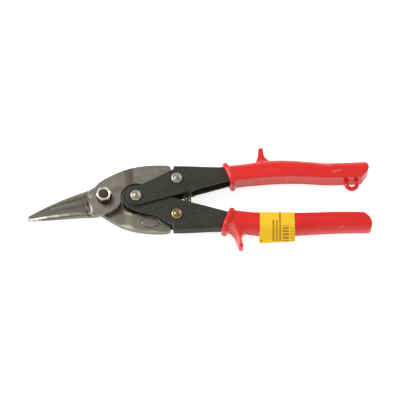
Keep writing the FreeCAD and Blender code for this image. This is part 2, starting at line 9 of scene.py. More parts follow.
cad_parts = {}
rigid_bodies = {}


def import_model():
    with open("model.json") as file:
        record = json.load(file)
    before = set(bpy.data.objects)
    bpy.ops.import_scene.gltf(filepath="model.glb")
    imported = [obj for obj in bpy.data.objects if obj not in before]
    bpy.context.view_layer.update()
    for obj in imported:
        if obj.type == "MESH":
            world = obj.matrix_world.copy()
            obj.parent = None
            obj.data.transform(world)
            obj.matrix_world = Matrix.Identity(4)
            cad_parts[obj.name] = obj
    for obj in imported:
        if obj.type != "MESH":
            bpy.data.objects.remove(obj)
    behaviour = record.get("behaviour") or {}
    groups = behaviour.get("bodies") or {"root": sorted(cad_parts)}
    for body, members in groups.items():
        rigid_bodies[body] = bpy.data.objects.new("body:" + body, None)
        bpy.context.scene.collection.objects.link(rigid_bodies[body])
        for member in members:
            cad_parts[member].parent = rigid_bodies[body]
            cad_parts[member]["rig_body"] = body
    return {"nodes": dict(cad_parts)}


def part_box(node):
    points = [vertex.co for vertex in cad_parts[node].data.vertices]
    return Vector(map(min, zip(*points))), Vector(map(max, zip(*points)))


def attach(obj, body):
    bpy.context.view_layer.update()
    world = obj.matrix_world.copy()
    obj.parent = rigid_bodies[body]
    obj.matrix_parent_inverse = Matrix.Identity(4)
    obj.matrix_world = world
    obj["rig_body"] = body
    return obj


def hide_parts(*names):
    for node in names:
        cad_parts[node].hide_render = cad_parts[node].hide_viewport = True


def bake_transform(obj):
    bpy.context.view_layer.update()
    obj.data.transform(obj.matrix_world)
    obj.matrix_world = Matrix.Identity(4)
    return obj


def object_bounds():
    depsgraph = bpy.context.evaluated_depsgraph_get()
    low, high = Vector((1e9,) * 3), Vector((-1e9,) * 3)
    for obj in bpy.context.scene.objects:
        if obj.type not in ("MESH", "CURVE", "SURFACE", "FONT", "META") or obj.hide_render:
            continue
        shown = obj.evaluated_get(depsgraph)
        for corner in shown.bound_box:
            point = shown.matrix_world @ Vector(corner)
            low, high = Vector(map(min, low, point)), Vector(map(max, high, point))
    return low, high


# Aviation snips: forged blades, black handles, dipped red grips and a folded yellow label.
#
# Lengths in this file are millimetres about the blade bolt, as in the part's source: +X runs to
# the grips, +Y to the upper handle, +Z to the nut. place() moves them into the row frame. A piece
# of the lower side is drawn as its twin on the upper side and turned half round about X.

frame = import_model()
cad_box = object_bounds()

MM = 0.001
SHEAR_GAP = 0.05
UPPER, LOWER = 1, -1
CREASE = math.radians(50)
FLAT = math.radians(0.6)
MERGE, SLIVER = 0.002 * MM, 0.001 * MM

nut_low, nut_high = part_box("pivot_nut")
blade_low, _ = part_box("front_blade")
BOLT = np.array([(nut_low[0] + nut_high[0]) / 2, (nut_low[1] + nut_high[1]) / 2,
                 blade_low[2] - SHEAR_GAP * MM])


# ================================================================ meshes
def place(points, side=UPPER):
    """Millimetres about the bolt to metres in the row frame: bolt + (x, side y, side z) / 1000."""
    return np.asarray(points, float) * np.array([1, side, side]) * MM + BOLT


def quads(rows, columns, wrap_columns, wrap_rows):
    """Faces (i, j) (i+1, j) (i+1, j+1) (i, j+1) of a grid of points, closed round where asked."""
    i, j = np.meshgrid(np.arange(rows if wrap_rows else rows - 1),
                       np.arange(columns if wrap_columns else columns - 1), indexing="ij")
    i2, j2 = (i + 1) % rows, (j + 1) % columns
    corners = [i * columns + j, i2 * columns + j, i2 * columns + j2, i * columns + j2]
    return np.stack([c.ravel() for c in corners], axis=1)


def piece(name, body, grids, material, stands_for=(), side=UPPER, ride=True):
    """One object out of point grids (rows, columns, 3): their doubles merged, faces outward.

    Each grid comes with two flags: whether its columns and whether its rows close round.
    """
    points, faces, count = [], [], 0
    for grid, closed in grids:
        rows, columns = grid.shape[:2]
        points.append(place(grid.reshape(-1, 3), side))
        faces.append(quads(rows, columns, *closed) + count)
        count += rows * columns
    mesh = bpy.data.meshes.new(name)
    mesh.from_pydata(np.concatenate(points).tolist(), [], np.concatenate(faces).tolist())
    tidy(mesh)
    return dress(mesh, name, body, material, stands_for, ride)


def tidy(mesh):
    """Merges doubles, drops faces without area, and faces all outward."""
    work = bmesh.new()
    work.from_mesh(mesh)
    bmesh.ops.remove_doubles(work, verts=work.verts, dist=MERGE)
    bmesh.ops.dissolve_degenerate(work, dist=SLIVER, edges=work.edges)
    bmesh.ops.recalc_face_normals(work, faces=work.faces)
    work.to_mesh(mesh)
    work.free()


def dress(mesh, name, body, material, stands_for, ride=True):
    """Makes the object of a finished mesh, says what it rides on, and hides the CAD parts it stands for."""
    obj = bpy.data.objects.new(name, mesh)
    bpy.context.scene.collection.objects.link(obj)
    mesh.materials.append(material)
    mesh.shade_smooth()
    if ride:
        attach(obj, body)
    if stands_for:
        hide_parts(*stands_for)
    return obj


def eased(name, node, material, rubbed, width, angle=28, cut=None):
    """A copy of a CAD node's mesh, its sharp edges eased to a small round that shows rubbed metal.

    cut is a point, a direction and a side: what lies beyond the point that way is taken off for a
    finer piece that starts there, and the edges of that cut stay square.
    """
    mesh = frame["nodes"][node].data.copy()
    mesh.materials.clear()
    tidy(mesh)
    obj = dress(mesh, name, frame["nodes"][node]["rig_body"], material, [node])
    mesh.materials.append(rubbed)
    work = bmesh.new()
    work.from_mesh(mesh)
    cut_faces = []
    if cut:
        point, way, side = cut
        everything = list(work.verts) + list(work.edges) + list(work.faces)
        made = bmesh.ops.bisect_plane(work, geom=everything, plane_co=place(point, side), dist=SLIVER,
                                      plane_no=Vector((way[0], side * way[1], side * way[2])),
                                      clear_outer=True)
        rim = [e for e in made["geom_cut"] if isinstance(e, bmesh.types.BMEdge)]
        cut_faces = bmesh.ops.edgenet_fill(work, edges=rim)["faces"]
    bmesh.ops.dissolve_limit(work, angle_limit=FLAT, verts=work.verts, edges=work.edges)
    fresh = {e for f in cut_faces if f.is_valid for e in f.edges}
    sharp = [e for e in work.edges if e not in fresh and len(e.link_faces) == 2
             and e.calc_face_angle() > math.radians(angle)]
    bmesh.ops.bevel(work, geom=sharp, offset=width * MM, offset_type="OFFSET", segments=3, profile=0.5,
                    affect="EDGES", material=1, clamp_overlap=False)
    bmesh.ops.recalc_face_normals(work, faces=work.faces)
    work.to_mesh(mesh)
    work.free()
    mesh.shade_smooth()
    mesh.set_sharp_from_angle(angle=CREASE)
    level = obj.modifiers.new("flat_faces", "WEIGHTED_NORMAL")
    level.keep_sharp = True
    return obj


def natural(points):
    """A smooth line y(x) through the points: the natural cubic spline, as a function of arrays.

    Its second derivatives m solve h0 m0 + 2 (h0 + h1) m1 + h1 m2 = 6 (slope1 - slope0).
    """
    x, y = np.array(points, float).T
    h = np.diff(x)
    rows = np.eye(len(x))
    right = np.zeros(len(x))
    k = np.arange(1, len(x) - 1)
    rows[k, k - 1], rows[k, k], rows[k, k + 1] = h[k - 1], 2 * (h[k - 1] + h[k]), h[k]
    right[k] = 6 * (np.diff(y)[k] / h[k] - np.diff(y)[k - 1] / h[k - 1])
    m = np.linalg.solve(rows, right)

    def at(q):
        q = np.clip(q, x[0], x[-1])
        n = np.clip(np.searchsorted(x, q) - 1, 0, len(h) - 1)
        a, b = (x[n + 1] - q) / h[n], (q - x[n]) / h[n]
        bend = ((a ** 3 - a) * m[n] + (b ** 3 - b) * m[n + 1]) * h[n] ** 2 / 6
        return a * y[n] + b * y[n + 1] + bend
    return at


def ease_in(t):
    """0 to 1 with level ends: 3 t^2 - 2 t^3."""
    t = np.clip(t, 0, 1)
    return t * t * (3 - 2 * t)


def quarter(steps):
    """Angles of a quarter turn."""
    return np.linspace(0, math.pi / 2, steps)


def lathe(profile, centre, turns=72):
    """A profile of (radius, height) points turned about Z at a centre: (r cos a, r sin a, h)."""
    r, h = np.array(profile, float).T
    a = np.linspace(0, 2 * math.pi, turns, endpoint=False)
    x, y = centre[0] + r[:, None] * np.cos(a), centre[1] + r[:, None] * np.sin(a)
    return np.stack(np.broadcast_arrays(x, y, h[:, None]), axis=-1), (True, False)


# ================================================================ materials
def linear(code):
    """An sRGB hex colour turned to linear light, with alpha."""
    values = [int(code[k:k + 2], 16) / 255 for k in (0, 2, 4)]
    return [v / 12.92 if v <= 0.04045 else ((v + 0.055) / 1.055) ** 2.4 for v in values] + [1.0]


def node(tree, kind, inputs=None, **settings):
    """Adds a node. Settings are its own properties; inputs are values or other nodes' sockets."""
    made = tree.nodes.new("ShaderNode" + kind)
    for key, value in settings.items():
        setattr(made, key, value)
    for key, value in (inputs or {}).items():
        if isinstance(value, bpy.types.NodeSocket):
            tree.links.new(value, made.inputs[key])
        else:
            made.inputs[key].default_value = value
    return made


def material(name, **sockets):
    """A new material whose one shader has these sockets set. Returns it, its tree and its shader."""
    made = bpy.data.materials.new(name)
    made.use_nodes = True
    tree = made.node_tree
    shader = tree.nodes["Principled BSDF"]
    for key, value in sockets.items():
        shader.inputs[key.replace("_", " ")].default_value = value
    return made, tree, shader


def spot(tree, vector, centre, radius):
    """1 inside a ball of that radius in millimetres about a point, fading to 0 at twice it."""
    apart = node(tree, "VectorMath", {0: vector, 1: Vector(place(centre))}, operation="DISTANCE")
    return node(tree, "MapRange", {"Value": apart.outputs["Value"], "From Min": radius * MM,
                                   "From Max": 2 * radius * MM, "To Min": 1.0, "To Max": 0.0},
                interpolation_type="SMOOTHSTEP").outputs[0]


def streak(tree, vector, start, end, radius, soft):
    """1 within a radius in millimetres of the line from start to end, fading out over a share of it.

    The nearest point of the line is start + t (end - start), t the clamped projection.
    """
    a, b = Vector(place(start)), Vector(place(end))
    along = b - a
    away = node(tree, "VectorMath", {0: vector, 1: a}, operation="SUBTRACT").outputs[0]
    t = node(tree, "VectorMath", {0: away, 1: along / along.length_squared}, operation="DOT_PRODUCT")
    t = node(tree, "Clamp", {"Value": t.outputs["Value"]}).outputs[0]
    foot = node(tree, "VectorMath", {0: along, "Scale": t}, operation="SCALE").outputs[0]
    apart = node(tree, "VectorMath", {0: away, 1: foot}, operation="DISTANCE").outputs["Value"]
    return node(tree, "MapRange", {"Value": apart, "From Min": radius * MM,
                                   "From Max": radius * (1 + soft) * MM, "To Min": 1.0, "To Max": 0.0},
                interpolation_type="SMOOTHSTEP").outputs[0]


def loosened(tree, vector, millimetres, patch):
    """Coordinates pushed about by a random field, so that a mark's outline is uneven."""
    field = node(tree, "TexNoise", {"Vector": vector, "Scale": 1 / (patch * MM), "Detail": 3.0})
    push = node(tree, "VectorMath", {0: field.outputs["Color"], 1: (0.5, 0.5, 0.5)},
                operation="SUBTRACT").outputs[0]
    push = node(tree, "VectorMath", {0: push, "Scale": 2 * millimetres * MM}, operation="SCALE").outputs[0]
    return node(tree, "VectorMath", {0: vector, 1: push}, operation="ADD").outputs[0]


def stain(tree, under, over, where, share=1.0):
    """One colour laid over another: under + where share (over - under).

    Colours are hex codes or other nodes' sockets.
    """
    under, over = (linear(c) if isinstance(c, str) else c for c in (under, over))
    strength = node(tree, "Math", {0: where, 1: share}, operation="MULTIPLY").outputs[0]
    return node(tree, "Mix", {"Factor": strength, 6: under, 7: over}, data_type="RGBA").outputs[2]


def patches(tree, vector, millimetres, low=0.0, high=1.0, detail=3.0, roughness=0.5, least=0.0,
            most=1.0):
    """Random patches about that many millimetres across.

    They are a smooth field from 0 to 1 whose part between low and high runs from least to most.
    """
    field = node(tree, "TexNoise", {"Vector": vector, "Scale": 1 / (millimetres * MM), "Detail": detail,
                                    "Roughness": roughness})
    return node(tree, "MapRange", {"Value": field.outputs["Fac"], "From Min": low, "From Max": high,
                                   "To Min": least, "To Max": most}).outputs[0]


def grain(tree, vector, degrees, long, across, low, high, **more):
    """Streaks: patches on coordinates turned about Z and divided by a length and a width in millimetres."""
    drawn = node(tree, "Mapping", {"Vector": vector, "Rotation": (0, 0, math.radians(-degrees)),
                                   "Scale": (1 / long, 1 / across, 1 / across)}, vector_type="POINT")
    return patches(tree, drawn.outputs[0], 1.0, low, high, **more)


# Mark colours: a patina, browns for heat tints that also serve as painted shade, a dark painted shadow, a
# painted jaw shade, painted highlights and a tan.
PATINA = "6e6858"
BROWN, DEEP_BROWN, PAINTED_JAW_SHADE, PAINTED_SHADOW = "66584a", "54483c", "59544a", "3f3b36"
PAINTED_HIGHLIGHT, BRIGHT_PAINTED_HIGHLIGHT, TAN, PALE_PAINTED_HIGHLIGHT = "dedbcf", "fffaf0", "958a74", "c4b9a8"


def forged_steel(name, light, dark, pits, marks):
    """Drop-forged tool steel, tumbled and oiled: soft grey with brown heat tints. Its marks also paint
    light: painted shade over the jaws, in hollows and between parts, and painted highlights on ridges and
    edges.

    A mark is (start, end, radius, softness, colour, share).
    """
    made, tree, shader = material(name, Metallic=0.85, Roughness=0.42)
    here = node(tree, "TexCoord").outputs["Object"]
    tone = stain(tree, light, dark, patches(tree, here, 9.0, 0.35, 0.68, detail=4.0))
    grit = patches(tree, here, 0.5, 0.3, 0.7, detail=2.0)
    tone = stain(tree, tone, pits, grit, 0.22)
    oiled = patches(tree, here, 2.6, 0.42, 0.66, detail=4.0, roughness=0.65)
    tone = stain(tree, tone, PATINA, oiled, 0.5)
    loose = loosened(tree, here, 0.7, 3.0)
    for start, end, radius, soft, colour, share in marks:
        tone = stain(tree, tone, colour, streak(tree, loose, start, end, radius, soft), share)
    tree.links.new(tone, shader.inputs["Base Color"])
    scratched = grain(tree, here, 18, 9.0, 0.35, 0.35, 0.7, detail=2.0, least=0.36, most=0.5)
    tree.links.new(scratched, shader.inputs["Roughness"])
    bump = node(tree, "Bump", {"Strength": 0.12, "Distance": 0.05 * MM, "Height": grit})
    tree.links.new(bump.outputs[0], shader.inputs["Normal"])
    return made


def black_paint():
    """Baked black enamel on sheet steel: a low sheen, dusty and faintly scuffed along the handles."""
    made, tree, shader = material("black_paint", Metallic=0.0, Roughness=0.45, IOR=1.5,
                                  Specular_IOR_Level=0.16)
    here = node(tree, "TexCoord").outputs["Object"]
    tone = stain(tree, "34332f", "3c3a35", patches(tree, here, 14.0, 0.35, 0.7, detail=4.0))
    tone = stain(tree, tone, "52514a", patches(tree, here, 1.8, 0.5, 0.72), 0.45)
    scuffed = grain(tree, here, -14, 6.0, 0.5, 0.66, 0.74, detail=4.0, roughness=0.6)
    tone = stain(tree, tone, "6b675f", scuffed, 0.5)
    tree.links.new(tone, shader.inputs["Base Color"])
    sheen = patches(tree, here, 5.0, 0.3, 0.7, least=0.38, most=0.52)
    tree.links.new(sheen, shader.inputs["Roughness"])
    return made


def red_vinyl():
    """Plastisol dip (soft PVC) cured over the handle: saturated red with a wet, slightly wavy gloss.

    Darker streaks run along it as it drained. A patch by the upper belly is greyer, a painted pink sheen
    lies on the lower spur's flank, and four short pale streaks are painted glints.
    """
    made, tree, shader = material("red_vinyl", Metallic=0.0, Roughness=0.22, IOR=1.53,
                                  Specular_IOR_Level=0.42)
    here = node(tree, "TexCoord").outputs["Object"]
    tone = stain(tree, "ec2f2b", "e42622", patches(tree, here, 12.0, 0.3, 0.7))
    tone = stain(tree, tone, "c81a17", grain(tree, here, 0, 45.0, 2.2, 0.5, 0.75, detail=2.0), 0.45)
    loose = loosened(tree, here, 0.5, 2.0)
    greyer_streak = streak(tree, loose, (94.0, 12.2, 0.5), (106.0, 13.2, 0.5), 2.2, 1.2)
    tone = stain(tree, tone, "a9807a", greyer_streak, 0.35)
    # painted pink sheen along the lower spur's flank
    painted_pink_sheen = streak(tree, loose, (91.8, -24.2, 4.8), (95.6, -34.0, 3.3), 1.7, 1.0)
    tone = stain(tree, tone, "eda79b", painted_pink_sheen, 0.27)
    # four painted glints: two on the upper grip, one on the lower grip's back, one on the lower spur's ridge
    for start, end, share in (((156.5, 25.3, 6.5), (164.5, 23.3, 7.5), 0.3),
                              ((165.8, 18.0, 7.9), (171.0, 19.6, 7.9), 0.22),
                              ((166.5, -26.9, 3.5), (171.6, -25.0, 5.0), 0.3),
                              ((94.2, -25.6, 5.4), (98.6, -36.6, 3.6), 0.42)):
        tone = stain(tree, tone, "f5aa9c", streak(tree, loose, start, end, 0.3, 3.0), share)
    tree.links.new(tone, shader.inputs["Base Color"])
    wave = patches(tree, here, 9.0, detail=1.0)
    bump = node(tree, "Bump", {"Strength": 0.5, "Distance": 0.3 * MM, "Height": wave})
    tree.links.new(bump.outputs[0], shader.inputs["Normal"])
    gloss = patches(tree, here, 3.0, 0.3, 0.7, least=0.17, most=0.27)
    tree.links.new(gloss, shader.inputs["Roughness"])
    return made


def plated(name, light, dark, roughness):
    """Plated or oiled small steel parts: a clear metal gleam, its tone uneven in small patches."""
    made, tree, shader = material(name, Metallic=1.0, Roughness=roughness)
    here = node(tree, "TexCoord").outputs["Object"]
    tone = stain(tree, light, dark, patches(tree, here, 1.6, 0.35, 0.65))
    tree.links.new(tone, shader.inputs["Base Color"])
    return made


def nut_finish():
    """A black-oxide nut whose up-facing top and chamfer are bright, partly rubbed steel and partly painted
    light; its flats stay brown, partly painted shade.
    """
    made, tree, shader = material("oxide_nut_rubbed_and_lit", Metallic=0.75, Roughness=0.34)
    here = node(tree, "TexCoord").outputs["Object"]
    up = node(tree, "SeparateXYZ", {0: node(tree, "NewGeometry").outputs["Normal"]}).outputs["Z"]
    # painted light: the share of bright steel rises as the face turns up
    rubbed_and_lit = node(tree, "MapRange", {"Value": up, "From Min": 0.45, "From Max": 0.8}).outputs[0]
    bright = stain(tree, "cbc6b8", "ece8db", patches(tree, here, 2.0))
    tree.links.new(stain(tree, "75665a", bright, rubbed_and_lit), shader.inputs["Base Color"])
    return made


def strip(tree, value, low, high, share):
    """The share, which may be another mask, where a value lies between two limits, and 0 elsewhere."""
    inside = node(tree, "Math", {0: value, 1: (low + high) / 2, 2: (high - low) / 2}, operation="COMPARE")
    return node(tree, "Math", {0: inside.outputs[0], 1: share}, operation="MULTIPLY").outputs[0]


def yellow_card():
    """Uncoated yellow label card, matt and faintly fibrous, with plain brown rules and equal bars.

    A small dark mark sits at its free corner.
    """
    made, tree, shader = material("yellow_card", Metallic=0.0, Roughness=0.7, IOR=1.45)
    here = node(tree, "TexCoord").outputs["Object"]
    tone = stain(tree, "ffc81a", "ffd22a", patches(tree, here, 0.8, 0.3, 0.7))
    apart = node(tree, "SeparateXYZ", {0: here})
    x, y = apart.outputs["X"], apart.outputs["Y"]
    left, middle = place((0, 0, 0))[:2]
    low_end, bar_pitch, bar_share = 33.6, 1.8, 0.62
    foot, block, whole = (strip(tree, y, middle - low_end * MM, middle - high_end * MM, 1.0)
                          for high_end in (20.0, 24.4, 10.0))
    pitches = node(tree, "Math", {0: y, 1: bar_pitch * MM}, operation="DIVIDE").outputs[0]
    in_pitch = node(tree, "Math", {0: pitches}, operation="FRACT").outputs[0]
    bars = strip(tree, in_pitch, 0.0, bar_share, block)
    for start, end, where, share in ((121.0, 122.5, foot, 0.6), (123.6, 124.9, foot, 0.6),
                                     (125.9, 127.2, whole, 0.65), (128.4, 132.8, bars, 0.7),
                                     (133.8, 136.2, bars, 0.3)):
        tone = stain(tree, tone, "7a3c0a", strip(tree, x, left + start * MM, left + end * MM, where), share)
    tone = stain(tree, tone, "3a2a18", spot(tree, here, (113.0, -33.9, 0), 0.45), 0.9)
    tree.links.new(tone, shader.inputs["Base Color"])
    return made


STEEL_FRONT = forged_steel("tumbled_steel_front", "8d8b81", "7f7c73", "625f57",
                           # painted shade: the whole jaw darker
                           [((-56.0, -14.0, 1.5), (-20.5, -5.5, 1.5), 7.0, 0.5, PAINTED_JAW_SHADE, 0.55),
                            # heat tints on the boss
                            ((16.9, 22.5, 4.4), (18.6, 10.0, 4.4), 2.0, 1.2, BROWN, 0.7),
                            ((18.8, 21.5, 4.4), (19.6, 12.0, 4.4), 0.5, 2.5, DEEP_BROWN, 0.5),
                            # painted shadow beside the nut, and painted shade in the hollow's pocket and over
                            # the ramp up to the boss
                            ((7.8, 5.4, 4.4), (11.6, 6.4, 4.4), 1.6, 1.2, PAINTED_SHADOW, 0.32),
                            ((-14.6, -4.7, 1.6), (-11.7, -4.7, 3.6), 1.0, 1.3, PAINTED_SHADOW, 0.75),
                            ((-22.0, -8.4, 2.2), (-12.5, -10.4, 3.0), 1.2, 1.8, BROWN, 0.5),
                            ((-11.6, -10.8, 2.8), (-10.0, -13.8, 3.4), 1.3, 1.2, PAINTED_SHADOW, 0.6),
                            ((-10.8, -6.2, 3.7), (-10.2, -10.2, 3.9), 0.7, 1.5, BROWN, 0.5),
                            # painted highlights on the ramp and along the jaw's ridge
                            ((-9.2, -7.4, 4.2), (-8.2, -10.6, 4.3), 0.25, 3.5, PAINTED_HIGHLIGHT, 0.3),
                            ((-11.5, -0.4, 4.2), (-9.8, 0.6, 4.4), 0.5, 3.0, PAINTED_HIGHLIGHT, 0.25),
                            ((-53.5, -16.6, 1.3), (-42.0, -15.1, 2.5), 0.7, 1.3, BRIGHT_PAINTED_HIGHLIGHT, 0.85),
                            ((-50.0, -16.1, 1.8), (-33.0, -14.2, 3.0), 0.3, 3.5, BRIGHT_PAINTED_HIGHLIGHT, 0.6),
                            ((-38.0, -14.6, 2.7), (-26.0, -13.4, 3.2), 0.5, 2.4, PAINTED_HIGHLIGHT, 0.4),
                            ((-30.0, -13.9, 3.1), (-17.0, -12.5, 3.6), 0.15, 8.0, PAINTED_HIGHLIGHT, 0.3),
                            # painted shade along the line between the blades
                            ((-43.0, -10.6, 0.6), (-14.0, -4.9, 1.0), 0.5, 1.6, DEEP_BROWN, 0.6)])
STEEL_REAR = forged_steel("tumbled_steel_rear", "8b897f", "7c7970", "625f57",
                          # painted shade: the rear jaw darker, and darker still along its top bevel
                          [((-52.0, -10.0, 0), (-16.0, 4.0, 0), 7.0, 0.5, PAINTED_JAW_SHADE, 0.7),
                           ((-50.0, -10.4, 0), (-14.0, 2.4, 0), 0.5, 1.4, PAINTED_SHADOW, 0.5),
                           ((-38.0, -6.8, 0), (-18.0, -1.4, 0), 0.2, 6.0, TAN, 0.32),
                           # painted highlights by the small ear
                           ((18.4, -10.9, 0), (19.4, -12.0, 0), 0.3, 4.5, PAINTED_HIGHLIGHT, 0.5),
                           ((15.0, -10.4, 0), (17.8, -11.4, 0), 0.3, 4.0, PAINTED_HIGHLIGHT, 0.4),
                           ((17.4, -14.6, 0), (18.8, -19.2, 0), 0.8, 3.5, TAN, 0.5),
                           # painted highlights along the lower edge
                           ((13.8, -21.3, 0), (19.6, -22.7, 0), 0.3, 3.2, BRIGHT_PAINTED_HIGHLIGHT, 0.75),
                           ((11.5, -20.4, 0), (25.0, -24.4, 0), 0.1, 9.0, PAINTED_HIGHLIGHT, 0.4),
                           ((16.8, -20.9, 0), (20.6, -22.3, 0), 0.8, 1.6, PALE_PAINTED_HIGHLIGHT, 0.5),
                           ((31.6, -25.4, 0), (38.4, -25.9, 0), 0.2, 3.0, PAINTED_HIGHLIGHT, 0.45),
                           ((26.0, -24.8, 0), (42.0, -26.0, 0), 0.1, 7.0, PAINTED_HIGHLIGHT, 0.35),
                           # painted shadow under the edge of the front blade's boss
                           ((9.0, -9.3, 0), (12.6, -10.0, 0), 1.5, 1.2, PAINTED_SHADOW, 0.35)])
PAINT = black_paint()
VINYL_RED = red_vinyl()
ZINC = plated("zinc_plate", "c2bbad", "9c9588", 0.36)
NUT = nut_finish()
BRASSY = plated("yellow_zinc_plate", "b39f78", "8d7c5c", 0.3)
OXIDE = plated("black_oxide", "54504b", "403d39", 0.4)
SPRING_WIRE = plated("oil_tempered_wire", "6d5f50", "564b40", 0.35)
STEEL_EDGE = plated("rubbed_steel_edge", "a8a497", "86826f", 0.3)
PAINT_EDGE = plated("rubbed_paint_edge", "6a675f", "4a4843", 0.4)
CARD = yellow_card()

# ================================================================ blades and handles
eased("front_blade_plate", "front_blade", STEEL_FRONT, STEEL_EDGE, 0.35,
      cut=((-11.3, 0.2, 0), (-14.9, -5.1, 0), UPPER))


def jaw_skin():
    """The front jaw: across it, height = 0.55 + (ridge - 0.5) g(f) from the cutting edge (f 0) over a
    hollow to the ridge and the back (f 1), and along it a hollow ramp that climbs to the boss.

    Its tip is rounded off over the first 0.9 mm, and the ramp is 3.4 mm long.
    """
    tip, tip_round, ramp, boss_top = -55.0, 0.9, 3.4, 4.39
    xs = np.concatenate([tip + tip_round * (1 - np.cos(quarter(8))), np.linspace(-54, -5.2, 120)[1:]])
    edge = natural([(tip, -15.2), (-45.4, -12.0), (-35.8, -9.0), (-26.2, -6.4), (-16.6, -4.2),
                    (-5, -1.8)])(xs)
    back = natural([(tip, -17.7), (-45.4, -17.1), (-35.8, -16.4), (-26.2, -15.6), (-16.6, -14.95),
                    (-10, -14.72), (-5, -14.48)])(xs)
    ridge = natural([(tip, 1.7), (-45.4, 2.7), (-35.8, 3.3), (-26.2, 3.6), (-16.6, 3.7), (-5, 3.8)])(xs)
    blunt = 0.45 * (1 - np.sqrt(1 - np.clip((tip + tip_round - xs) / tip_round, 0, 1) ** 2))
    edge, back, ridge = edge - blunt * 1.2, back + blunt * 1.2, ridge - blunt * 1.6
    f = np.concatenate([np.linspace(0, 0.9, 46), 0.9 + 0.1 * np.sin(quarter(8))[1:]])
    rise = natural([(0, 0), (0.2, 0.1), (0.42, 0.28), (0.56, 0.56), (0.68, 0.84), (0.8, 0.98), (0.88, 1.0),
                    (0.95, 0.95), (1.0, 0.78)])(f)
    y = edge[:, None] + (back - edge)[:, None] * f
    z = 0.55 + (ridge - 0.5)[:, None] * rise
    boundary = natural([(-15, -7.6), (-7.7, -9.3), (-3.8, -10.9), (0.2, -12.6), (4.2, -13.4)])
    step = np.clip((xs[:, None] - boundary(y) + ramp) / ramp, 0, 1)
    z = z + (boss_top - z) * ease_in(step) ** 1.2
    low = 0 * y[:, :1] + SHEAR_GAP
    x = xs[:, None] + 0 * y
    top = np.stack([x, y, z], axis=-1)
    side = np.stack([x[:, -1:], back[:, None], (z[:, -1:] + low) / 2], axis=-1)
    foot = np.stack([x[:, -1:], back[:, None], low], axis=-1)
    heel = np.stack([x[:, :1], edge[:, None], low], axis=-1)
    loop = np.concatenate([top, side, foot, heel], axis=1)
    middle = loop.mean(axis=1, keepdims=True) + 0 * loop
    return np.concatenate([middle[:1], loop, middle[-1:]]), (True, False)


jaw = piece("front_jaw", "front_blade", [jaw_skin()], STEEL_FRONT)
jaw.data.set_sharp_from_angle(angle=CREASE)
eased("rear_blade_eased", "rear_blade", STEEL_REAR, STEEL_EDGE, 0.35)
eased("upper_handle_eased", "upper_handle", PAINT, PAINT_EDGE, 0.3)
eased("lower_handle_eased", "lower_handle", PAINT, PAINT_EDGE, 0.3)

# ================================================================ grips
VINYL = 1.5
GRIP_MID = 0.95
GRIP_HALF = 6.95
BACK_R = 5.8
BELLY_R = 1.0
CHANNEL_END = 182.0
LEAN = math.radians(21.0)
COLLAR_MID = 17.9
COLLAR_HALF_HIGH = 10.05 * math.cos(LEAN)
COLLAR_PROUD = 2.0
BEAD = 1.9
INNER_SLOPE = 0.295
EAR_R = 7.2
HANDLE_X = 23.0
ROUNDS = 4


def straight_edge(x):
    """Height of the handle's straight inner edge, tangent to the small ear."""
    square = math.atan(INNER_SLOPE) - math.pi / 2
    touch_x, touch_y = HANDLE_X + EAR_R * math.cos(square), EAR_R * math.sin(square)
    return touch_y + INNER_SLOPE * (x - touch_x)


back_line = natural([(50, 25.3), (64, 25.1), (80, 24.4), (90.6, 24.6), (103, 25.9), (120, 27.7), (142, 27.4),
                     (162, 26.3), (182, 25.8), (204, 25.6)])
belly_curve = natural([(90.6, straight_edge(90.6)), (103, 14.2), (112.2, 14.95), (142, 15.6), (162, 15.2),
                       (182, 15.4), (204, 15.6)])


def belly_line(x):
    """The handle's inner edge: straight ahead of the collar, then a smooth line."""
    return np.where(x < 90.6, straight_edge(x), belly_curve(x))


def swayed(line, offsets):
    """A line with a small smooth sway added, given as (x, offset) points."""
    sway = natural(offsets)
    return lambda x: line(x) + sway(x)


upper_back = swayed(back_line, [(90, 0), (112, 0.2), (124.5, 0.7), (142, 0.5), (154, 0.1), (163, -0.1),
                                (170, 0.25), (180, 0.75), (188, 1.25), (204, 1.6)])
upper_belly = swayed(belly_line, [(90, 0.3), (112, 0.35), (124.5, 0.75), (142, 0.85), (154, 0.4), (163, 0.0),
                                  (175, 0.15), (204, 0.3)])
lower_back = swayed(back_line, [(90, -0.2), (103, -0.3), (112, 0.0), (126, -0.35), (140, -0.75), (160, -0.8),
                                (172, -0.85), (181, -0.8), (204, -0.6)])
lower_belly = swayed(belly_line, [(90, -0.1), (112, 0.0), (137, -0.3), (160, -0.4), (170, -0.55),
                                  (204, -0.5)])


def section_columns():
    """The grip's section as columns: a point is set out from the belly and back lines by

    y = a belly + (1 - a) back + b r_belly + c r_back and z = d half + e r_belly + f r_back,
    so every column is its six factors a to f. Half the loop is drawn, then mirrored in z.
    """
    t = np.linspace(0, 1, 6)[:-1]
    s = np.linspace(0, 1, 10)[:-1]
    q, p = quarter(7)[:-1], quarter(15)[:-1]
    zero, one = np.zeros, np.ones
    belly = [one(5), zero(5), zero(5), t, -t, zero(5)]
    belly_corner = [one(6), 1 - np.cos(q), zero(6), one(6), np.sin(q) - 1, zero(6)]
    flank = [1 - s, 1 - s, -s, one(9), zero(9), zero(9)]
    back_corner = [zero(14), zero(14), np.sin(p) - 1, one(14), zero(14), np.cos(p) - 1]
    back = [zero(5), zero(5), zero(5), 1 - t, zero(5), t - 1]
    half = np.concatenate([belly, belly_corner, flank, back_corner, back,
                           np.array([[0, 0, 0, 0, 0, 0]]).T], axis=1)
    mirror = half[:, -2:0:-1] * np.array([[1, 1, 1, -1, -1, -1]]).T
    return np.concatenate([half, mirror], axis=1)


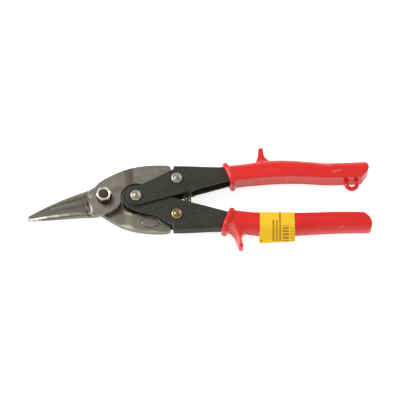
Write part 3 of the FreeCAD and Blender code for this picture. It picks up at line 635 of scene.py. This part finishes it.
def grip_rows(collar_x, end):
    """The rows of a grip from the bottom of its hollow out over the collar to its end.

    Columns: x at mid height, distance s from the collar's middle plane, grow, collar share w,
    lean, share of the end's slant, scale. In the rows of the end's cap, x is only a first guess, and
    the sixth column is how far they are set back from the end's outline.
    """
    inside, foot_end, round_r = -VINYL + 0.07, 3.1, 1.6
    upright, slant_from, slant_full = 16, 18, 4
    hollow = [(CHANNEL_END, 0, inside, 0, 0, 0, 0), (CHANNEL_END, 0, inside, 0, 0, 0, 1),
              (collar_x + upright, 0, inside, 0, 0, 0, 1)]
    lip = [(collar_x, s, g, w, 1, 0, 1) for s, g, w in
           [(0.5 - BEAD, inside, 0), (0.15 - BEAD, inside + 0.1, 0), (-BEAD, inside + 0.35, 0),
            (-BEAD, 0, 0.1)]]
    rim = [(collar_x, -BEAD * math.cos(a), 0, (0.4 + 1.6 * math.sin(a)) / 2, 1, 0, 1) for a in quarter(9)]
    rim += [(collar_x, BEAD * math.sin(a), 0, (0.5 + 1.5 * math.cos(a)) / 2, 1, 0, 1) for a in quarter(9)[1:]]
    foot = [(collar_x, s, 0, o / 2, 1, 0, 1) for s, o in
            [(2.0, 0.36), (2.2, 0.2), (2.5, 0.08), (foot_end, 0.0)]]
    start = collar_x + foot_end / math.cos(LEAN)
    xs = np.arange(start + 1.0, end - slant_full, 1.5)
    body = [(x, 0, 0, 0, 1 - ease_in((x - start) / upright),
             ease_in((x - end + slant_from) / (slant_from - slant_full)), 1) for x in xs]
    cap = [(end, 0, -round_r * (1 - math.cos(a)), 0, 0, round_r * (math.sin(a) - 1), 1) for a in quarter(8)]
    close = [(end, 0, -round_r, 0, 0, 0, k) for k in (0.7, 0.4, 0.15, 0.0)]
    return np.array(hollow + lip + rim + foot + body), np.array(cap + close)


def grip_skin(collar_x, end_curve, belly, back):
    """The grip's surface, row by row: x leans with the collar at the front and follows the end's
    outline at the rear; each row's section is set out from the belly and back lines at its own x.
    As x and y depend on each other, they are worked out in a few rounds."""
    a, b, c, d, e, f = section_columns()
    end = float(end_curve(20.0))
    rows, caps = grip_rows(collar_x, end)
    x0, s, grow, w, lean, slant, scale = rows.T[..., None]
    tan = math.tan(LEAN) * lean
    r_belly = np.maximum(BELLY_R + grow, 0.35) * (1 - w) + BACK_R * w
    r_back = np.maximum(BACK_R + grow, 2.85)
    x = x0 + s / math.cos(LEAN)
    for _ in range(ROUNDS):
        low = (belly(x) - VINYL - grow) * (1 - w) + (COLLAR_MID + s * math.sin(LEAN) - COLLAR_HALF_HIGH) * w
        high = (back(x) + VINYL + grow) * (1 - w) + (COLLAR_MID + s * math.sin(LEAN) + COLLAR_HALF_HIGH) * w
        y = a * low + (1 - a) * high + b * r_belly + c * r_back
        x = x0 + s / math.cos(LEAN) - tan * (y - COLLAR_MID) + slant * (end_curve(y) - end)
    z = d * (GRIP_HALF + grow + COLLAR_PROUD * w) + e * r_belly + f * r_back
    middle = (low + high) / 2
    skin = np.stack([x, middle + (y - middle) * scale, GRIP_MID + z * scale], axis=-1)

    x, _, grow, _, _, back_off, scale = caps.T[..., None]
    r_belly, r_back = np.maximum(BELLY_R + grow, 0.4), BACK_R + grow
    for _ in range(ROUNDS):
        low, high = belly(x) - VINYL - grow, back(x) + VINYL + grow
        y = a * low + (1 - a) * high + b * r_belly + c * r_back
        middle = (low + high) / 2
        y = middle + (y - middle) * scale
        x = end_curve(y) + back_off
    z = (d * (GRIP_HALF + grow) + e * r_belly + f * r_back) * scale
    cap = np.stack([x, y, GRIP_MID + z], axis=-1)
    return np.concatenate([skin, cap]), (True, False)


def back_surface(back, x, z):
    """Height of the grip's back over (x, z): the back line, dropping round the corner radius."""
    over = np.clip(np.abs(z - GRIP_MID) - (GRIP_HALF - BACK_R), 0, BACK_R)
    return back(x) + VINYL - BACK_R + np.sqrt(BACK_R ** 2 - over ** 2)


def spur_skin(x, back, fore, aft, tip_height, wedge=0.0):
    """A finger guard: rounded-rectangle rings that rise from the grip's back.

    Its flanks are smooth lines through the (height, x) points of fore and aft, its foot is a
    quarter-round hollow fillet that runs out on the grip, and its tip is a quarter-round. wedge
    slants the fore flank through the thickness, most at the foot and not at the tip.
    """
    front, rear = natural(fore), natural(aft)
    base = float(back(np.array(x))) + VINYL
    top = tip_height - base
    fillet, round_r, corner_r, half_thick = 1.4, 0.9, 0.9, 4.5
    q = quarter(9)
    flank = np.linspace(fillet, top - round_r, 14)[1:-1]
    h = np.concatenate([[-0.5], fillet * (1 - np.cos(q)), flank, top - round_r + round_r * np.sin(q),
                        [top, top]])
    flare = np.concatenate([[fillet + 0.3], fillet * (1 - np.sin(q)), 0 * flank, 0 * q, [0, 0]])
    inset = np.concatenate([[0], 0 * q, 0 * flank, round_r * (1 - np.cos(q)), [round_r, round_r]])
    scale = np.concatenate([np.ones(len(h) - 2), [0.5, 0.0]])[:, None]
    level = base + h
    a = (rear(level) - front(level)) / 2 + flare - inset
    centre = (rear(level) + front(level)) / 2
    b = half_thick - 0.2 * ease_in(h / top) + flare - inset
    corner = np.minimum(np.minimum(a, b) * 0.92, corner_r + flare)
    u = np.linspace(0, 2 * math.pi, 64, endpoint=False)
    cosine, sine = np.cos(u), np.sin(u)
    xs = np.sign(cosine) * (a - corner)[:, None] + corner[:, None] * cosine
    zs = np.sign(sine) * (b - corner)[:, None] + corner[:, None] * sine
    slant = wedge * (1 - np.clip(h / top, 0, 1))[:, None] * (1 - zs / b[:, None]) / 2
    xs = xs + slant * np.clip((a[:, None] - xs) / (2 * a[:, None]), 0, 1)
    xs, zs = centre[:, None] + xs * scale, GRIP_MID + zs * scale
    settle = ease_in(h / (0.6 * top))[:, None]
    ys = (1 - settle) * back_surface(back, xs, zs) + settle * base + h[:, None]
    return np.stack([xs, ys, zs], axis=-1), (True, False)


def eye_skin():
    """The hanging eye: a tube bent to a ring, (R + a cos v) about the hole and b sin v through."""
    u, v = np.meshgrid(np.linspace(0, 2 * math.pi, 56, endpoint=False),
                       np.linspace(0, 2 * math.pi, 24, endpoint=False), indexing="ij")
    eye_x, eye_y, rim, tube, thick = 179.8, 11.4, 3.9, 1.6, 1.7
    reach = rim + tube * np.cos(v)
    return np.stack([eye_x + reach * np.cos(u), eye_y + reach * np.sin(u), GRIP_MID + thick * np.sin(v)],
                    axis=-1), (True, True)


upper_end = natural([(8.0, 182.9), (14.0, 187.2), (18.0, 190.2), (21.0, 192.2), (23.0, 192.6), (25.0, 192.45),
                     (27.0, 191.7), (30.0, 189.4)])
lower_end = natural([(10.0, 184.6), (12.0, 186.2), (14.5, 189.0), (17.0, 191.4), (20.0, 192.6),
                     (23.0, 192.75), (25.5, 191.9), (27.5, 190.2), (30.0, 187.5)])
upper_spur = spur_skin(114.6, upper_back,
                       [(28.0, 109.6), (30.0, 110.5), (31.6, 111.1), (33.3, 111.7), (36.6, 112.0),
                        (40.0, 112.5)],
                       [(28.0, 120.3), (30.0, 119.2), (31.6, 117.5), (33.3, 116.6), (36.6, 116.0),
                        (40.0, 115.6)],
                       tip_height=40.0)
lower_spur = spur_skin(96.2, lower_back,
                       [(26.6, 90.4), (29.9, 93.6), (33.1, 94.9), (36.35, 96.0), (39.6, 96.9)],
                       [(26.6, 101.2), (28.3, 99.9), (30.0, 99.0), (33.1, 99.0), (36.35, 99.7),
                        (39.6, 100.1)],
                       tip_height=39.6, wedge=3.0)
UPPER_COLLAR_X, LOWER_COLLAR_X = 90.6, 89.6
piece("upper_grip_dip", "upper_handle",
      [grip_skin(UPPER_COLLAR_X, upper_end, upper_belly, upper_back), upper_spur, eye_skin()],
      VINYL_RED, ["upper_grip"])
piece("lower_grip_dip", "lower_handle",
      [grip_skin(LOWER_COLLAR_X, lower_end, lower_belly, lower_back), lower_spur],
      VINYL_RED, ["lower_grip"], LOWER)

# ================================================================ fasteners
# How far a handle's outer faces lie from the cutting plane: at its small ear, and at its big ear.
SMALL_OUT = 6.4
BIG_OUT = 4.5
HEAD_R, HEAD_HIGH, SHANK_R = 4.2, 2.1, 2.6
LINK = (52.5, 14)


def head_profile(face, way):
    """A set rivet head on a face, as (radius, height): rounded rim, ring groove, raised button."""
    rim = [(1, 0.0), (1.0, 0.12), (0.995, 0.26), (0.975, 0.42), (0.93, 0.58), (0.86, 0.7), (0.78, 0.79)]
    groove = [(0.7, 0.84), (0.64, 0.84), (0.6, 0.8), (0.57, 0.7), (0.545, 0.62), (0.52, 0.64), (0.49, 0.74)]
    button = [(0.45, 0.83), (0.38, 0.91), (0.28, 0.965), (0.15, 0.995), (0.0, 1.0)]
    return [(HEAD_R * out, face + way * HEAD_HIGH * up) for out, up in rim + groove + button]


def rivet_skin(centre, low, high):
    """A rivet: both heads and the shank between them, as one turned profile, 0.1 mm off the sheet."""
    low, high = low - 0.1, high + 0.1
    shank = [(SHANK_R, low), (SHANK_R, high)]
    return lathe(head_profile(low, -1)[::-1] + shank + head_profile(high, 1), centre)


def nut_skin(flats, turn, low, high, hole, top_r):
    """A hexagon nut: radius (flats / 2) / cos of the angle from the nearest flat's middle, its top
    corners cut by a 30 degree cone, its hole running through with a chamfer below and above."""
    a = np.linspace(0, 2 * math.pi, 144, endpoint=False)
    off = (a - math.radians(turn)) % (math.pi / 3) - math.pi / 6
    hexagon = np.minimum(flats / 2 / np.cos(off), flats / math.sqrt(3) - 0.12)
    cone = high - (hexagon - top_r) * math.tan(math.radians(30))
    base = low + (hexagon - flats / 2) * 0.4
    full = np.ones_like(a)
    below, above = 0.4, 0.55
    rows = [(hole * full, (low + below) * full), ((hole + below) * full, low * full),
            (flats / 2 * full - 0.1, low * full), (hexagon - 0.05, base), (hexagon, base + 0.1),
            (hexagon, cone - 0.12), (hexagon - 0.05, cone), ((hexagon + top_r) / 2, (cone + high) / 2),
            (top_r * full + 0.05, high * full - 0.03), ((top_r - 0.15) * full, high * full),
            ((hole + above) * full, high * full), (hole * full, (high - above) * full)]
    r, h = (np.array([row[k] for row in rows]) for k in (0, 1))
    r, h = np.concatenate([r, r[:1]]), np.concatenate([h, h[:1]])
    return np.stack([r * np.cos(a), r * np.sin(a), h], axis=-1), (True, False)


piece("handle_rivet_set", "lower_handle", [rivet_skin((HANDLE_X, 0), -SMALL_OUT, SMALL_OUT)],
      ZINC, ["handle_rivet"])
piece("upper_link_rivet_set", "upper_handle", [rivet_skin(LINK, -BIG_OUT, SMALL_OUT)],
      ZINC, ["upper_link_rivet"])
piece("lower_link_rivet_set", "lower_handle", [rivet_skin(LINK, -BIG_OUT, SMALL_OUT)],
      BRASSY, ["lower_link_rivet"], LOWER)
piece("pivot_nut_hex", "rear_blade",
      [nut_skin(flats=10.0, turn=11.5, low=5.4, high=10.1, hole=3.25, top_r=4.8)], NUT, ["pivot_nut"])

# ================================================================ spring
def spring_skin(middle_x=60.2, half=6.25, climb=1.45, turns=6.5, wire=0.5, coil=2.4):
    """Round wire along a helix about Y: centre line (coil cos t, y, coil sin t) about its middle.

    y runs from -half to half, less the wire, and its turns lie closer towards both ends. The line
    climbs from its middle to one end and falls to the other, as the two tails lie one above the other.
    """
    t = np.linspace(0, 1, 260)
    along = ease_in(t) * 0.35 + t * 0.65
    angle = 2 * math.pi * turns * t
    y = wire - half + along * 2 * (half - wire)
    z_shift = y / half * climb
    line = np.stack([middle_x + coil * np.cos(angle), y, z_shift + coil * np.sin(angle)], axis=-1)
    ahead = np.gradient(line, axis=0)
    ahead /= np.linalg.norm(ahead, axis=1)[:, None]
    out = np.stack([np.cos(angle), 0 * t, np.sin(angle)], axis=-1)
    out -= ahead * np.sum(out * ahead, axis=1)[:, None]
    out /= np.linalg.norm(out, axis=1)[:, None]
    side = np.cross(ahead, out)
    v = np.linspace(0, 2 * math.pi, 12, endpoint=False)
    radius = np.full(len(t), wire)
    radius[[0, -1]] = 0
    ring = out[:, None] * np.cos(v)[:, None] + side[:, None] * np.sin(v)[:, None]
    return line[:, None] + radius[:, None, None] * ring, (True, False)


coil_spring = piece("coil_spring", "rear_blade", [spring_skin()], SPRING_WIRE, ["spring"],
                    ride=False)
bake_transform(coil_spring)

# ================================================================ label
def label_skin():
    """The label's outline round the grip, from one end of its glued flap to the other, carried along X.

    It leaves the grip's round back along the straight line that touches it, runs to the flap, and
    its free edge slants in by 1.4 mm along the label.
    """
    belly, half, end, r, bend = 13.35, 7.05, 35.1, 5.95, 23.3
    front, long, slant = 112.2, 25.0, 1.4
    turn = np.linspace(math.pi / 2, 0.9, 8)
    back = np.stack([bend + r * np.cos(turn), half - r + r * np.sin(turn)], axis=1)[::-1]
    wall = np.concatenate([[(end, 0.12), (34.2, 0.14), (33.9, 0.3)], back,
                           [(20.0, half + 0.05), (belly + 0.7, half), (belly, half - 0.7), (belly, 0.0)]])
    loop = np.concatenate([wall, (wall * [1, -1])[-2::-1]])
    steps = np.concatenate([[0], np.cumsum(np.linalg.norm(np.diff(loop, axis=0), axis=1))])
    v = np.linspace(0, steps[-1], 160)
    y, z = np.interp(v, steps, loop[:, 0]), np.interp(v, steps, loop[:, 1])
    u = np.linspace(0, 1, 30)[:, None]
    x = front + long * u + 0 * v - 0.9 * ease_in((y - 24) / 11) * (1 - u)
    y = y - slant * u * ease_in((y - 28) / 7) + 0.35 * u * ease_in((17 - y) / 4)
    return np.stack([x, y, GRIP_MID + z + 0 * u], axis=-1), (False, False)


label = piece("folded_label", "lower_handle", [label_skin()], CARD, ["paper_label"], LOWER)
sheet = label.modifiers.new("sheet", "SOLIDIFY")
sheet.thickness = 0.24 * MM
sheet.offset = 0

# ================================================================ other CAD nodes
for name, finish in {"pivot_bolt": OXIDE, "pivot_washer": OXIDE, "handle_spacer": ZINC,
                     "upper_tail_washer": ZINC, "lower_tail_washer": ZINC, "latch": ZINC,
                     "latch_rivet": ZINC, "latch_washer": ZINC, "latch_stud": ZINC}.items():
    obj = frame["nodes"][name]
    obj.data.materials.clear()
    obj.data.materials.append(finish)

# ================================================================ room, light and camera
CEILING = 0.38
FLOOR_GLOW = 0.75


def room():
    """A pale floor under the snips, and a white world behind it with a darker ceiling.

    The floor's own white is what the camera and the gloss see; it leaves out a spot under the bolt and
    the handles' ears, a painted shadow, so that the gaps there stay dark.
    """
    low, size = cad_box[0][2], 4.0
    mesh = bpy.data.meshes.new("floor")
    mesh.from_pydata([(-size, -size, low), (size, -size, low), (size, size, low), (-size, size, low)], [],
                     [(0, 1, 2, 3)])
    floor = bpy.data.objects.new("floor", mesh)
    bpy.context.scene.collection.objects.link(floor)
    made, tree, shader = material("pale_board")
    tree.nodes.remove(shader)
    path = node(tree, "LightPath")
    seen = node(tree, "Math", {0: path.outputs["Is Camera Ray"], 1: path.outputs["Is Glossy Ray"]},
                operation="MAXIMUM").outputs[0]
    board = node(tree, "BsdfDiffuse", {"Color": (0.85, 0.85, 0.85, 1)})
    here = node(tree, "TexCoord").outputs["Object"]
    # painted shadow: the floor's glow is left out in a spot under the bolt and the handles' ears
    painted_shadow_spot = spot(tree, here, (13.0, 3.0, (low - BOLT[2]) / MM), 8.0)
    clear = node(tree, "Math", {0: 1.0, 1: painted_shadow_spot}, operation="SUBTRACT").outputs[0]
    white = node(tree, "Math", {0: seen, 1: FLOOR_GLOW}, operation="MULTIPLY").outputs[0]
    white = node(tree, "Math", {0: white, 1: clear}, operation="MULTIPLY").outputs[0]
    glow = node(tree, "Emission", {"Strength": white})
    both = node(tree, "AddShader", {0: board.outputs[0], 1: glow.outputs[0]})
    tree.links.new(both.outputs[0], tree.nodes["Material Output"].inputs["Surface"])
    mesh.materials.append(made)

    world = bpy.data.worlds.new("white_room")
    bpy.context.scene.world = world
    world.use_nodes = True
    tree = world.node_tree
    height = node(tree, "SeparateXYZ", {0: node(tree, "TexCoord").outputs["Generated"]}).outputs["Z"]
    walls = node(tree, "MapRange", {"Value": height, "From Min": 0.35, "From Max": 0.8, "To Min": 1.0,
                                    "To Max": CEILING}).outputs[0]
    path = node(tree, "LightPath")
    background = tree.nodes["Background"]
    background.inputs["Color"].default_value = (1, 1, 1, 1)
    seen = node(tree, "Math", {0: walls, 1: path.outputs["Is Camera Ray"]}, operation="MAXIMUM")
    tree.links.new(seen.outputs[0], background.inputs["Strength"])


def lamp(name, where, aim, size, watts):
    """A square soft lamp at a point, turned to face another. Its size is in metres."""
    data = bpy.data.lights.new(name, "AREA")
    data.size, data.energy = size, watts
    obj = bpy.data.objects.new(name, data)
    bpy.context.scene.collection.objects.link(obj)
    here, there = Vector(place(where)), Vector(place(aim))
    obj.location = here
    obj.rotation_euler = (there - here).to_track_quat("-Z", "Y").to_euler()


def camera():
    """Looks down at the snips from the side of the lower handle."""
    high, turn, far = math.radians(62.489), math.radians(-0.318), 1176.0
    middle, aside, below = (68.9, 0.2, 0.1), 0.435, 0.617
    around = Matrix.Rotation(turn, 3, "Z")
    ahead = around @ Vector((0, math.cos(high), -math.sin(high)))
    right = around @ Vector((1, 0, 0))
    up = right.cross(ahead)
    target = Vector(place(middle)) + (right * aside - up * below) * MM
    data = bpy.data.cameras.new("camera")
    data.lens, data.sensor_width = 145.9, 36.0
    data.clip_start, data.clip_end = 0.01, 50.0
    obj = bpy.data.objects.new("camera", data)
    bpy.context.scene.collection.objects.link(obj)
    turned = Matrix((right, up, -ahead)).transposed().to_4x4()
    obj.matrix_world = Matrix.Translation(target - ahead * far * MM) @ turned
    bpy.context.scene.camera = obj


room()
lamp("key", where=(-550, 350, 850), aim=(68, 0, 0), size=0.45, watts=7.0)
camera()
bpy.context.scene.view_settings.view_transform = "Standard"
